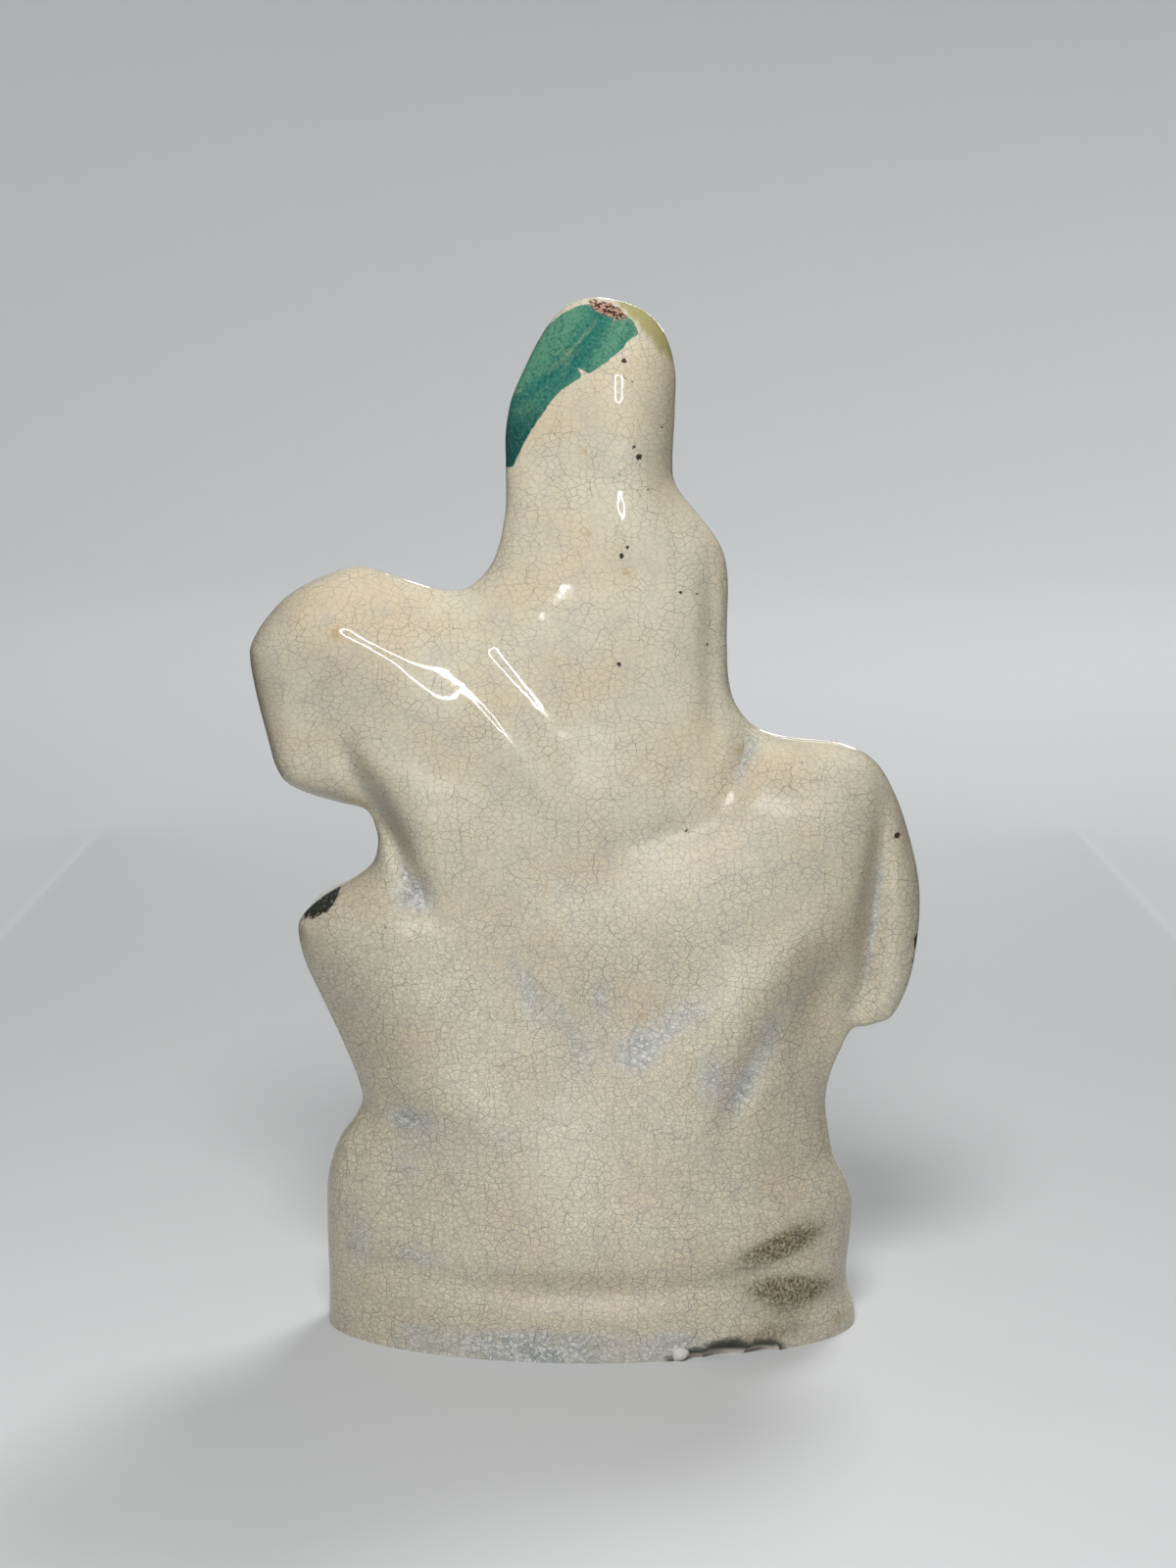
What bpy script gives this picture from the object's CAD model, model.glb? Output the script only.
import math

import bmesh
import bpy
import numpy as np
import openvdb
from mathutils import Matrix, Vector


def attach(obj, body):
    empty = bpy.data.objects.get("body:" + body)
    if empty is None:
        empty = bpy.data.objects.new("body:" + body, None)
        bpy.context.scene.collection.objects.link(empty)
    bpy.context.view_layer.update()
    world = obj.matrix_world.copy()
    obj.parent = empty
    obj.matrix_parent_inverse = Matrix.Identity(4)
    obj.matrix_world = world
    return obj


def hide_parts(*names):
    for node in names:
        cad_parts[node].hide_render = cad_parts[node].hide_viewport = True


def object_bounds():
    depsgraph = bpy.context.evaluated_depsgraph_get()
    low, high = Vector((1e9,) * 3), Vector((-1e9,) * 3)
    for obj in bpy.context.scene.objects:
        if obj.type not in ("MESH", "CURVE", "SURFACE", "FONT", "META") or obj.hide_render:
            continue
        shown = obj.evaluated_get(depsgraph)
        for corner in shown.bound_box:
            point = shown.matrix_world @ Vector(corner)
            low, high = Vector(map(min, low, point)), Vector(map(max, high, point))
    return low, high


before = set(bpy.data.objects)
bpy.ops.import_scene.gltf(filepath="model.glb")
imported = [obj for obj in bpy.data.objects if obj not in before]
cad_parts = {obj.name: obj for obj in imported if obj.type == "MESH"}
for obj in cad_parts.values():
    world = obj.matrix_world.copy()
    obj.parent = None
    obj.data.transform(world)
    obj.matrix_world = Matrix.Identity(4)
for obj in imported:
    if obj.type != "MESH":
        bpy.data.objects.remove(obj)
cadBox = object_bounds()

# Lengths are in millimetres up to the mesh itself. X runs to the pony's head, -Y is the painted
# front, +Y the plain back that the camera sees, Z is up.
mm = 0.001
perMm = 1000.0    # a noise scale of perMm / 3 has features 3 mm across

mould = {
    "height": 170.0,
    "baseHalfDepth": 21.7,
    "baseCentreX": -0.7,
    "gridStep": 0.72,    # size of the mesh's facets
    "gridHalfWidth": 59.0,
    "gridFront": -26.0,
    "gridBack": 25.0,
    "gridBelow": -4.5,
    "mapStep": 0.5,                             # spacing of the flat map of the outline's depth
    "edgePower": 4,
    "grooveHeight": 11.3,
    "grooveRise": 0.0016,
    "grooveHalfWidth": 2.8,
    "grooveDepth": 0.8,
    "ovalBelow": 24.0,
    "outlineAbove": 46.0,
    "fieldScale": 9.0,                          # mm, about half the body's thickness
}

# The outline in the seam plane, clockwise from the top of the hat, as (X, Z)
outline = {
    "hat": [(-1.6, 170.1), (-7.8, 168.6), (-11.7, 165.4), (-13.9, 159.7), (-14.1, 153.5)],
    "nape": [(-13.7, 144.1), (-14.2, 140.6)],
    "shoulder and arm": [(-17.4, 136.2), (-21.4, 130.7), (-22.7, 125.2), (-22.6, 115.6)],
    "waist": [(-23.3, 107.6), (-25.1, 103.5), (-28.0, 100.8)],
    "rump": [(-33.0, 99.2), (-41.6, 98.2), (-47.0, 95.4), (-50.6, 89.4), (-53.2, 81.6)],
    "tail": [(-54.6, 75.0), (-54.6, 66.7), (-53.3, 58.4), (-50.8, 52.7), (-47.3, 51.0), (-44.0, 50.0)],
    "hind leg": [(-42.1, 46.7), (-40.2, 41.6), (-39.8, 36.6), (-41.1, 28.9)],
    "base, tail end": [(-43.2, 24.6), (-44.5, 20.4), (-44.3, 15.4), (-43.7, 9.2), (-44.6, 4.0),
                       (-45.3, 0.0)],
    "below": [(-45.3, -30.0), (-45.0, -60.0), (0.0, -62.0), (44.0, -60.0), (44.2, -30.0)],
    "base, head end": [(43.8, 0.0), (43.7, 7.5), (43.9, 16.1), (43.6, 24.6), (41.9, 30.6), (39.3, 34.4)],
    "fore leg": [(37.6, 38.2), (38.3, 42.0), (40.8, 48.4), (43.9, 55.4), (46.7, 61.7)],
    "knee": [(47.8, 67.1), (47.0, 69.6), (43.6, 72.8), (39.6, 75.3)],
    "notch": [(35.8, 77.9), (34.6, 80.6), (34.6, 83.6), (36.2, 87.2)],
    "muzzle": [(40.4, 88.4), (45.8, 90.1), (49.3, 91.9), (51.0, 94.6), (52.1, 98.7)],
    "face": [(54.0, 106.8), (54.9, 112.4), (54.4, 115.2), (51.7, 119.3), (47.6, 123.2)],
    "poll": [(41.2, 126.4), (36.3, 127.2)],
    "crest": [(30.9, 125.6), (24.4, 123.7), (19.8, 123.8), (16.4, 126.4)],
    "rein arm": [(14.4, 130.4), (13.4, 136.2), (13.3, 144.1)],
    "plume": [(13.2, 148.8), (12.4, 153.5), (10.5, 158.1), (8.0, 163.1), (5.3, 167.1), (2.3, 169.3)],
}

# Thickness of the back and of the bare front wall over the height, as (Z, mm)
backDepth = [(-9, 22.0), (0, 21.7), (14, 20.7), (22, 19.2), (30, 17.3), (42, 14.9), (55, 13.5), (65, 12.8),
             (75, 12.3), (85, 12.1), (92, 12.0), (100, 11.2), (110, 10.2), (125, 8.4), (134, 7.7),
             (142, 7.0),
             (150, 7.5), (158, 7.3), (164, 6.4), (172, 5.0)]
frontDepth = [(-9, 22.2), (0, 21.7), (14, 20.9), (22, 18.6), (29, 14.0), (35, 7.5), (42, 4.6), (60, 4.0),
              (172, 4.0)]
edgeRounding = [(-9, 36.0), (30, 28.0), (42, 20.0), (55, 17.0), (75, 13.0), (100, 12.0), (125, 12.0),
                (135, 12.0), (150, 11.5), (172, 11.5)]

# Soft hollows (-) and swellings (+) of the back: X, Z, half-width, half-height, lean in degrees, mm
backForms = {
    "jaw crease": (33.1, 85.7, 1.7, 7.0, -27, -5.6),
    "crease pool": (28.4, 75.2, 3.4, 2.6, 10, -1.2),
    "muzzle": (45.0, 96.5, 6.0, 8.0, -20, -3.4),
    "cheek, low": (41.0, 104.0, 7.0, 6.0, -30, -1.6),
    "poll": (44.1, 125.7, 7.9, 8.7, -14, 3.2),
    "neck crest": (25.8, 107.6, 4.6, 15.7, -56, 1.6),
    "chest": (24.0, 88.0, 6.5, 9.0, -22, 1.2),
    "rein shoulder": (12.1, 101.2, 2.7, 11.9, -33, 1.5),
    "rein hollow": (13.0, 107.6, 2.7, 11.2, -40, -0.45),
    "withers": (19.0, 121.6, 3.3, 8.5, -21, -0.5),
    "waist side": (-20.0, 106.0, 8.0, 13.0, 8, -1.8),
    "small of the back": (-26.6, 99.0, 1.9, 6.0, 26, -2.2),
    "rump": (-36.0, 82.0, 7.0, 9.0, 0, 0.8),
    "arm groove": (-20.0, 117.0, 1.4, 11.0, 0, -1.5),
    "nape": (-6.0, 141.0, 10.0, 3.4, 10, -0.6),
    "nape ridge": (-6.5, 139.0, 4.0, 7.0, 0, 0.8),
    "shoulder blades": (-6.2, 120.8, 7.7, 6.2, -4, 0.55),
    "hat crest": (-7.0, 152.0, 5.0, 13.0, 0, 1.5),
    "hat, plume side": (8.0, 152.0, 5.0, 12.0, 0, -1.4),
    "flank hollow": (-9.0, 82.0, 12.0, 5.5, -27, -0.9),
    "flank dent": (-14.6, 85.4, 5.5, 1.9, -15, -0.8),
    "flank": (-14.5, 73.0, 9.0, 6.0, -20, 0.6),
    "hip slope": (-52.0, 68.0, 11.0, 16.0, 0, -5.0),
    "tail groove": (-46.8, 71.0, 1.6, 11.5, 4, -3.5),
    "tail groove, foot": (-45.0, 56.5, 1.7, 4.5, 27, -1.8),
    "buttock": (-41.5, 70.0, 3.4, 8.0, 0, 0.9),
    "thigh": (-30.0, 62.0, 4.4, 11.0, 57, 1.3),
    "hind leg ridge": (-22.0, 53.0, 4.5, 9.0, 50, 0.8),
    "hind leg side": (-42.0, 49.0, 8.0, 13.0, -4, -7.0),
    "hind leg valley": (-37.5, 55.0, 3.2, 9.0, 26, -1.6),
    "stifle ridge": (-33.5, 67.0, 2.2, 6.0, 32, 0.6),
    "stifle hollow": (-14.3, 55.2, 4.6, 9.0, 53, -1.0),
    "gaskin crease": (-26.2, 45.0, 2.1, 6.5, 24, -1.8),
    "belly crease": (9.4, 58.0, 3.2, 7.5, -20, -0.8),
    "belly ridge": (3.2, 66.0, 3.0, 8.0, -8, 0.5),
    "belly fold": (-1.9, 58.0, 2.4, 5.0, 0, -0.5),
    "leg crease": (2.0, 47.0, 3.2, 8.0, 20, -0.5),
    "fore leg side": (43.0, 51.0, 6.0, 13.0, -20, -6.0),
    "knee": (33.0, 71.5, 4.0, 4.5, 0, 1.0),
    "foreleg edge": (35.0, 33.0, 1.6, 10.0, 0, 0.9),
    "mound, head end": (40.5, 27.0, 2.6, 7.0, 0, 1.2),
    "cannon": (23.0, 39.0, 6.0, 4.0, 0, 0.6),
    "cannon hollow": (29.0, 37.0, 4.0, 2.6, 10, -0.8),
}

# Chips out of the back foot of the base: X, depth line Y, Z, radii
chips = [(-18.2, 20.6, -0.2, 3.6, 1.9, 1.5), (-23.2, 19.2, 0.0, 4.6, 2.1, 2.3),
         (-28.8, 17.3, -0.1, 3.4, 2.0, 1.7)]

# Blob of glaze left at the end of the chips, and its radii
footBlob = ((-15.0, 20.2, 0.9), (1.2, 1.0, 0.9))


def closedCurve(points, steps=6):
    points = np.array(points)
    before, after, beyond = np.roll(points, 1, 0), np.roll(points, -1, 0), np.roll(points, -2, 0)
    parts = []
    for t in np.arange(steps) / steps:
        parts.append(0.5 * (2 * points + (after - before) * t
                            + (2 * before - 5 * points + 4 * after - beyond) * t ** 2
                            + (3 * points - before - 3 * after + beyond) * t ** 3))
    return np.stack(parts, 1).reshape(-1, 2)


edge = closedCurve([point for stretch in outline.values() for point in stretch])


def smoothStep(low, high, value):
    t = np.clip((value - low) / (high - low), 0.0, 1.0)
    return t * t * (3.0 - 2.0 * t)


def profile(table, z):
    # reading of a table with its corners eased over 16 mm
    knots = np.array(table, dtype=float)
    shares = ((-8.0, 1), (-4.0, 4), (0.0, 6), (4.0, 4), (8.0, 1))
    return sum(share * np.interp(z + shift, knots[:, 0], knots[:, 1]) for shift, share in shares) / 16.0


def join(first, second, fillet):
    # union of two solids with a fillet between them
    h = np.clip(0.5 + 0.5 * (second - first) / fillet, 0.0, 1.0)
    return second * (1.0 - h) + first * h - fillet * h * (1.0 - h)


def cut(first, second, fillet):
    return -join(-first, -second, fillet)


def measureOutline(px, pz):
    # signed distance inside the outline, and the same with its ridges eased
    nearest = np.full(px.shape, np.inf)
    gathered = np.zeros(px.shape)
    inside = np.zeros(px.shape, dtype=bool)
    power = mould["edgePower"]
    for (ax, az), (bx, bz) in zip(edge, np.roll(edge, -1, 0)):
        ex, ez = bx - ax, bz - az
        length = math.hypot(ex, ez)
        along = np.clip(((px - ax) * ex + (pz - az) * ez) / length ** 2, 0.0, 1.0)
        nearest = np.minimum(nearest, (px - ax - along * ex) ** 2 + (pz - az - along * ez) ** 2)
        middle = (px - 0.5 * (ax + bx)) ** 2 + (pz - 0.5 * (az + bz)) ** 2
        gathered += length / np.maximum(middle, 0.04) ** (power / 2)
        if ez:
            crossing = (az > pz) != (bz > pz)
            inside ^= crossing & (px < ax + (pz - az) * ex / ez)
    depth = np.sqrt(nearest) * np.where(inside, 1.0, -1.0)
    unit = math.sqrt(math.pi) * math.gamma((power - 1) / 2) / math.gamma(power / 2)
    eased = (gathered / unit) ** (-1.0 / (power - 1))
    return depth, depth + (eased - depth) * smoothStep(0.8, 3.0, depth)


mapOrigin = (-68.0, -12.0)
mapXs = np.arange(mapOrigin[0], 68.0, mould["mapStep"])
mapZs = np.arange(mapOrigin[1], 182.0, mould["mapStep"])
outlineMaps = measureOutline(*np.meshgrid(mapXs, mapZs, indexing="ij"))


def cubicWeights(t):
    return (0.5 * (-t + 2 * t ** 2 - t ** 3), 0.5 * (2 - 5 * t ** 2 + 3 * t ** 3),
            0.5 * (t + 4 * t ** 2 - 3 * t ** 3), 0.5 * (t ** 3 - t ** 2))


def outlineDepth(x, z):
    # smooth reading of the two maps
    x, z = np.broadcast_arrays(x, z)
    u = np.clip((x - mapOrigin[0]) / mould["mapStep"], 1.0, len(mapXs) - 3.001)
    v = np.clip((z - mapOrigin[1]) / mould["mapStep"], 1.0, len(mapZs) - 3.001)
    i, k = u.astype(int), v.astype(int)
    acrossX, acrossZ = cubicWeights(u - i), cubicWeights(v - k)
    depths = [0.0, 0.0]
    for a in range(4):
        for b in range(4):
            weight = acrossX[a] * acrossZ[b]
            for n in (0, 1):
                depths[n] = depths[n] + weight * outlineMaps[n][i + a - 1, k + b - 1]
    return depths


def ovalShare(x, z):
    # how far a point is from the middle of the base towards its end, 1 at the end
    ends = []
    for side in (-1, 1):
        end = edge[(edge[:, 0] * side > 0) & (edge[:, 1] < mould["outlineAbove"])]
        end = end[np.argsort(end[:, 1])]
        ends.append(np.interp(z, end[:, 1], end[:, 0]))
    return np.abs(x - 0.5 * (ends[0] + ends[1])) / (0.5 * (ends[1] - ends[0]))


def ellipsoid(x, y, z, centre, radii, lean=0.0):
    # egg shape leaning in the seam plane, filled out to the back so that it leaves the mould
    c, s = math.cos(math.radians(lean)), math.sin(math.radians(lean))
    dx, dy, dz = x - centre[0], np.minimum(y - centre[1], 0.0), z - centre[2]
    across, up = (dx * c + dz * s) / radii[0], (dz * c - dx * s) / radii[2]
    return (np.sqrt(across ** 2 + (dy / radii[1]) ** 2 + up ** 2) - 1.0) * min(radii)


def limb(x, y, z, joints, flat=1.0, fillet=1.2):
    # tapering limb through (x, y, z, radius) joints, filled out behind
    solid = None
    for (ax, ay, az, ar), (bx, by, bz, br) in zip(joints, joints[1:]):
        ex, ez = bx - ax, bz - az
        along = np.clip(((x - ax) * ex + (z - az) * ez) / (ex * ex + ez * ez), 0.0, 1.0)
        rise = np.minimum(y - (ay + (by - ay) * along), 0.0) / flat
        gap = np.sqrt((x - ax - along * ex) ** 2 + (z - az - along * ez) ** 2 + rise ** 2)
        part = gap - (ar + (br - ar) * along)
        solid = part if solid is None else join(solid, part, fillet)
    return solid * min(flat, 1.0)


def locks(solid, phase, depth):
    # grooves a solid into locks, one for every whole turn of the phase
    return solid + depth * (0.5 - 0.5 * np.cos(2.0 * math.pi * phase))


def softForm(x, z, form):
    cx, cz, halfWidth, halfHeight, lean, height = form
    c, s = math.cos(math.radians(lean)), math.sin(math.radians(lean))
    across = ((x - cx) * c + (z - cz) * s) / halfWidth
    up = ((z - cz) * c - (x - cx) * s) / halfHeight
    return height * np.exp(-0.5 * (across ** 2 + up ** 2))


def blank(x, y, z, depth):
    # oval base, plain swelling back and a bare front wall within the outline
    groove = mould["grooveDepth"] * np.exp(
        -((z - mould["grooveHeight"] - mould["grooveRise"] * x * x) / mould["grooveHalfWidth"]) ** 2)
    back = profile(backDepth, z) + sum(softForm(x, z, form) for form in backForms.values())
    thickness = np.where(y > 0.0, back, profile(frontDepth, z)) - groove
    fromEdge = 1.0 - depth / profile(edgeRounding, z)
    oval = ovalShare(x, z)
    rim = oval + (np.maximum(fromEdge, 0.0) - oval) * smoothStep(mould["ovalBelow"],
                                                                 mould["outlineAbove"], z)
    return (np.sqrt(rim ** 2 + (y / thickness) ** 2) - 1.0) * mould["fieldScale"]


def ponyBody(x, y, z):
    body = ellipsoid(x, y, z, (-8, -3, 79), (34, 12.5, 16.5), 2)
    body = join(body, ellipsoid(x, y, z, (-34, -3, 82), (18, 13, 17), -8), 6)
    body = join(body, ellipsoid(x, y, z, (20, -3, 82), (16, 13, 17), 20), 6)
    neck = limb(x, y, z, [(17, -3, 90, 16), (26, -4, 106, 13), (34, -5, 117, 9.5)], 0.75)
    skull = limb(x, y, z, [(45.2, -5, 115.5, 9.0), (47.4, -5.4, 106, 6.6), (46.2, -5.8, 98.5, 5.7),
                           (44.6, -5.8, 94.5, 5.8)], 0.8)
    head = join(skull, ellipsoid(x, y, z, (41.2, -7.5, 112.0), (8.2, 5.6, 8.6)), 1.5)
    features = [
        (ellipsoid(x, y, z, (47.6, -10.6, 115.4), (3.4, 2.4, 2.4), 30), 0.8),         # brow
        (ellipsoid(x, y, z, (48.4, -9.0, 96.2), (2.6, 2.2, 2.8)), 0.8),               # nostril
        (limb(x, y, z, [(40.6, -9.5, 119.5, 2.4), (38.4, -10.4, 125.6, 1.2)], 0.9), 0.8),
    ]
    for feature, fillet in features:
        head = join(head, feature, fillet)
    mouth = limb(x, y, z, [(50.6, -9.0, 93.6, 0.7), (45.6, -11.4, 94.8, 0.6)])
    head = cut(head, -mouth, 0.8)
    nostrilPit = ellipsoid(x, y, z, (49.0, -11.6, 96.6), (0.9, 1.4, 1.3), 25)
    head = cut(head, -nostrilPit, 0.6)
    body = join(join(body, neck, 6), head, 2)
    legs = [
        [(25, -9, 76, 9), (32, -11, 69.5, 6.8), (42.3, -12, 66.3, 5.4), (40.2, -10.8, 57.5, 4.2),
         (36.4, -9, 48.5, 3.6), (34.6, -9, 45.0, 3.9), (34.2, -9, 40.5, 4.6)],
        [(17, -6, 68, 8), (19.5, -6, 55, 5), (19.5, -6, 48, 4.4), (20, -6, 40, 3.6), (21.5, -7, 34.5, 5.0)],
        [(-30, -4.5, 75, 11.5), (-35, -7.5, 60, 7.5), (-37.2, -8, 50.5, 4.8), (-35.5, -8, 42, 3.9),
         (-33, -9, 35.0, 5.2)],
        [(-22, -5, 64, 8), (-18.5, -5, 53, 5), (-21.5, -5, 45, 4.2), (-22, -5.5, 40, 3.7),
         (-19.5, -6.5, 34.5, 5.0)],
    ]
    for leg in legs:
        body = join(body, limb(x, y, z, leg), 2.5)
    return body


def ponyEye(x, y, z):
    return ellipsoid(x, y, z, (47.9, -11.0, 112.9), (1.7, 1.6, 1.25), 20)


def hooves(x, y, z):
    solid = None
    for cx, cy, cz, lean in ((34.0, -9.6, 38.6, 4), (21.9, -7.6, 33.2, -8), (-32.6, -9.6, 33.8, -6),
                             (-19.2, -7.2, 33.2, -6)):
        hoof = ellipsoid(x, y, z, (cx, cy, cz), (5.2, 5.0, 3.4), lean)
        solid = hoof if solid is None else np.minimum(solid, hoof)
    return solid


def mane(x, y, z):
    fall = limb(x, y, z, [(38.0, -8.5, 120.5, 4.0), (31.0, -11.0, 114.0, 6.2), (25.0, -12.5, 106.0, 7.0),
                          (19.5, -13.0, 98.0, 5.0)], 0.7)
    run = (x - 30) * 0.62 + (z - 112) * 0.78
    fall = locks(fall, run / 4.4 + 0.25 * np.sin((x - z) / 5.0), 1.3)
    fall = locks(fall, run / 1.47 + 0.5 * np.sin((x - z) / 4.0), 0.25)
    forelock = limb(x, y, z, [(43.5, -9.5, 123.0, 2.8), (46.5, -12.0, 119.5, 2.2),
                              (49.6, -12.2, 116.4, 1.0)])
    return join(fall, locks(forelock, (x + z) / 2.0, 0.25), 0.8)


def tail(x, y, z):
    fall = limb(x, y, z, [(-41.5, -10.5, 94.0, 3.6), (-47.0, -9.5, 85.0, 5.4), (-48.8, -8.5, 72, 6.2),
                          (-48.0, -7.5, 60, 5.2), (-47.0, -6.5, 53.5, 3.0)], 0.8)
    run = x - (-48.6 + 0.010 * (z - 70.0) ** 2)
    fall = locks(fall, run / 3.6 + 0.3 * np.sin(z / 6.0), 1.0)
    return locks(fall, run / 1.2 + 0.4 * np.sin(z / 4.5), 0.2)


def saddleCloth(x, y, z):
    barrel = ellipsoid(x, y, z, (-6, -3, 79.5), (36, 14.1, 18.0), 2)
    panel = np.maximum(np.abs(x + 3.0 + 0.18 * (z - 90)) - 18.0, np.abs(z - 90.0) - 14.5)
    return cut(barrel, panel, 1.2)


def harness(x, y, z):
    straps = [
        [(40.4, -10.0, 99.4, 0.9), (44.6, -11.0, 101.0, 0.9), (51.8, -8.0, 103.0, 0.9)],        # noseband
        [(44.6, -11.2, 101.0, 0.8), (43.4, -12.9, 107.5, 0.8), (41.0, -12.6, 117.6, 0.8)],      # cheek strap
        [(41.0, -12.4, 117.6, 0.8), (46.0, -12.6, 119.4, 0.8), (51.4, -9.0, 118.6, 0.8)],       # brow band
        [(43.6, -11.6, 99.4, 0.7), (35.5, -14.4, 100.4, 0.8), (26.8, -17.4, 106.4, 0.8)],       # rein
        [(-5.2, -14.6, 76.0, 1.2), (-5.2, -14.2, 70.0, 1.2), (-5.2, -10.5, 63.5, 1.2)],         # girth
    ]
    solid = None
    for strap in straps:
        part = limb(x, y, z, strap)
        solid = part if solid is None else np.minimum(solid, part)
    return solid


def coat(x, y, z):
    body = limb(x, y, z, [(-4, -8, 101, 11), (-4, -8.5, 111, 9.2), (-3.5, -8.5, 122, 11.5),
                          (-2.5, -8, 129, 10)], 0.8)
    body = join(body, ellipsoid(x, y, z, (-4, -7, 130.5), (17.5, 7, 6.0), -3), 3)
    for share in np.linspace(0.0, 1.0, 5):
        fold = limb(x, y, z, [(-10.0 + 13 * share, -14.5, 105, 2.6),
                              (-17.0 + 17 * share, -15.5 - share, 95, 3.6),
                              (-20.5 + 19 * share, -14.8 - 3 * share, 85.5 + 1.5 * share, 3.4)], 0.8)
        body = join(body, fold, 0.8)
    return body


def sleeves(x, y, z):
    hipArm = limb(x, y, z, [(-17, -7.5, 129.5, 5.4), (-19.0, -9.5, 117, 5.0), (-12.5, -15, 108.0, 4.0)])
    reinArm = limb(x, y, z, [(10.5, -8, 129.5, 5.4), (15.5, -12.5, 118, 4.8), (21.5, -15.0, 110.2, 3.8)])
    return np.minimum(hipArm, reinArm)


def cuffs(x, y, z):
    return np.minimum(ellipsoid(x, y, z, (-12.6, -14.8, 108.2), (2.2, 4.6, 5.0), -36),
                      ellipsoid(x, y, z, (21.3, -14.8, 110.4), (2.0, 4.4, 4.8), 38))


def hands(x, y, z):
    hip = limb(x, y, z, [(-12.5, -15, 108.0, 3.2), (-8.6, -17.2, 105.6, 2.9)])
    rein = limb(x, y, z, [(21.5, -15.0, 110.2, 3.0), (25.2, -16.2, 107.2, 2.9)])
    return locks(np.minimum(hip, rein), (x * 0.4 - z) / 1.9, 0.3)


def lapels(x, y, z):
    solid = None
    for side in (-1, 1):
        lapel = limb(x, y, z, [(-1.6 + 5.4 * side, -13.4, 135.0, 2.2),
                               (-2.2 + 4.6 * side, -16.2, 128.0, 1.9),
                               (-2.8 + 1.4 * side, -17.2, 120.0, 1.1)])
        solid = lapel if solid is None else np.minimum(solid, lapel)
    return solid


def buttons(x, y, z):
    solid = None
    for cy, cz in ((-17.5, 119.4), (-17.0, 116.0), (-16.4, 112.8)):
        button = ellipsoid(x, y, z, (-3.2, cy, cz), (1.0, 0.9, 1.0))
        solid = button if solid is None else np.minimum(solid, button)
    return solid


def belt(x, y, z):
    return ellipsoid(x, y, z, (-4.0, -8.6, 107.6), (11.2, 9.4, 2.0), -2)


def stock(x, y, z):
    return ellipsoid(x, y, z, (-1.2, -9.5, 137.4), (6.6, 6.4, 2.6))


def breeches(x, y, z):
    return limb(x, y, z, [(-1, -12, 97, 8.0), (11.5, -15, 87.5, 6.2), (10.4, -15, 80, 5.4)])


def boot(x, y, z):
    leg = limb(x, y, z, [(10.4, -15, 79.0, 5.1), (8.4, -15, 66.5, 3.7), (9.4, -15.5, 62.8, 3.4),
                         (15.6, -16.4, 61.2, 2.7)])
    top = ellipsoid(x, y, z, (10.6, -15.4, 79.0), (6.2, 5.8, 1.5), 6)
    return join(leg, top, 0.6)


def face(x, y, z):
    # plain textbook proportions, calm, nobody's likeness
    solid = ellipsoid(x, y, z, (-1.2, -8.5, 150), (8.0, 8.2, 9.8))
    solid = join(solid, ellipsoid(x, y, z, (-1.2, -13.9, 143.6), (2.8, 2.2, 2.2)), 2.0)
    neck = limb(x, y, z, [(-1.5, -8, 133, 6.5), (-1.0, -8, 142, 5.6)])
    features = [
        (limb(x, y, z, [(-1.2, -15.9, 151.6, 0.9), (-1.2, -17.3, 148.6, 1.3)]), 1.0),     # nose
        (ellipsoid(x, y, z, (-1.2, -15.7, 146.4), (2.0, 0.9, 0.55)), 0.4),                # lips
        (ellipsoid(x, y, z, (-1.2, -15.6, 145.5), (1.6, 0.9, 0.6)), 0.4),
        (ellipsoid(x, y, z, (-1.2, -14.4, 152.8), (5.6, 1.8, 1.1)), 1.2),                 # brow
    ]
    for side in (-1, 1):
        features.append((ellipsoid(x, y, z, (-1.2 + 3.1 * side, -15.0, 150.8), (1.5, 1.0, 0.85)), 0.4))
    for feature, fillet in features:
        solid = join(solid, feature, fillet)
    return join(solid, neck, 1.5)


def curls(x, y, z):
    solid = None
    for side, reach in ((-1, -10.2), (1, 8.6)):
        for row in range(4):
            centre = (reach + 0.5 * side * (row % 2), -8.0 - 0.5 * row, 154 - 3.9 * row)
            curl = ellipsoid(x, y, z, centre, (3.4, 4.6, 2.9), 18 * side)
            swirl = np.arctan2(z - centre[2], x - centre[0]) / (2 * math.pi)
            curl = locks(curl, swirl + np.hypot(x - centre[0], z - centre[2]) / 1.9, 0.22)
            solid = curl if solid is None else join(solid, curl, 0.5)
    return solid


def hat(x, y, z):
    crown = ellipsoid(x, y, z, (-4.0, -7.0, 162.6), (9.0, 8.6, 6.6), 8)
    brim = ellipsoid(x, y, z, (-2.8, -9.0, 158.2), (11.6, 10.2, 2.7), 8)
    return join(crown, brim, 0.8)


def plume(x, y, z):
    solid = None
    for share in np.linspace(0.0, 1.0, 5):
        angle = math.radians(100 - 118 * share)
        spine = (-2.6 + 13.4 * math.cos(angle), -14.4 + 4.8 * share, 152.4 + 14.4 * math.sin(angle))
        frond = ellipsoid(x, y, z, spine, (3.5, 4.8 - share, 5.8 - 1.4 * share), 58 - 88 * share)
        solid = frond if solid is None else join(solid, frond, 0.4)
    barbs = np.arctan2(z - 151.0, x + 4.0) * 8.0 + np.hypot(x + 4.0, z - 151.0) / 5.0
    return locks(solid, barbs, 0.35)


def stump(x, y, z):
    solid = limb(x, y, z, [(1, -9, 26, 13), (-1, -7, 38, 9.0), (-2, -6, 50, 7.4), (-1, -5, 62, 10.0)], 0.8)
    return locks(solid, x / 3.4 + 0.35 * np.sin(z / 5.0) + 0.1 * np.sin(z / 1.9), 0.45)


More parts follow.
